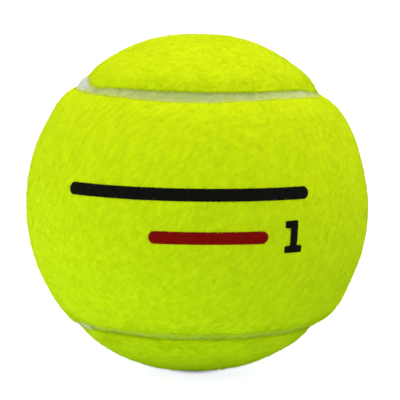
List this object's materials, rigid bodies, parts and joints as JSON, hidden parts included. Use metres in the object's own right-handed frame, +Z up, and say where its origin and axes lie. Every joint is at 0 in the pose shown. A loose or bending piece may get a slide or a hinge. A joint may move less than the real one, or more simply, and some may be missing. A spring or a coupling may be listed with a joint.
{
  "type": "tennis ball",
  "caption": "Pressurised tennis ball: hollow rubber core of cemented half-shells under interlocking dog-bone felt panels with rolled edges and a recessed cement seam between them.",
  "frame": {"origin": "centre of the ball", "axes": "+Z up as the ball is pictured, -Y towards the camera through the waist of the front felt panel, +Y through the waist of the rear felt panel, +X to the right"},
  "size_m": [0.067, 0.067, 0.067],
  "materials": {
    "core_rubber": "matte",
    "joint_cement": "satin",
    "core_coat": "satin",
    "panel_cement": "matte",
    "felt": "matte",
    "seam_cement": "matte"
  },
  "bodies": {
    "root": {"core_half_front": "core_rubber", "core_half_rear": "core_rubber", "core_joint_cement": "joint_cement", "core_coat": "core_coat", "panel_cement_front": "panel_cement", "panel_cement_rear": "panel_cement", "felt_panel_front": "felt", "felt_panel_rear": "felt", "seam_cement": "seam_cement"}
  },
  "joints": []
}
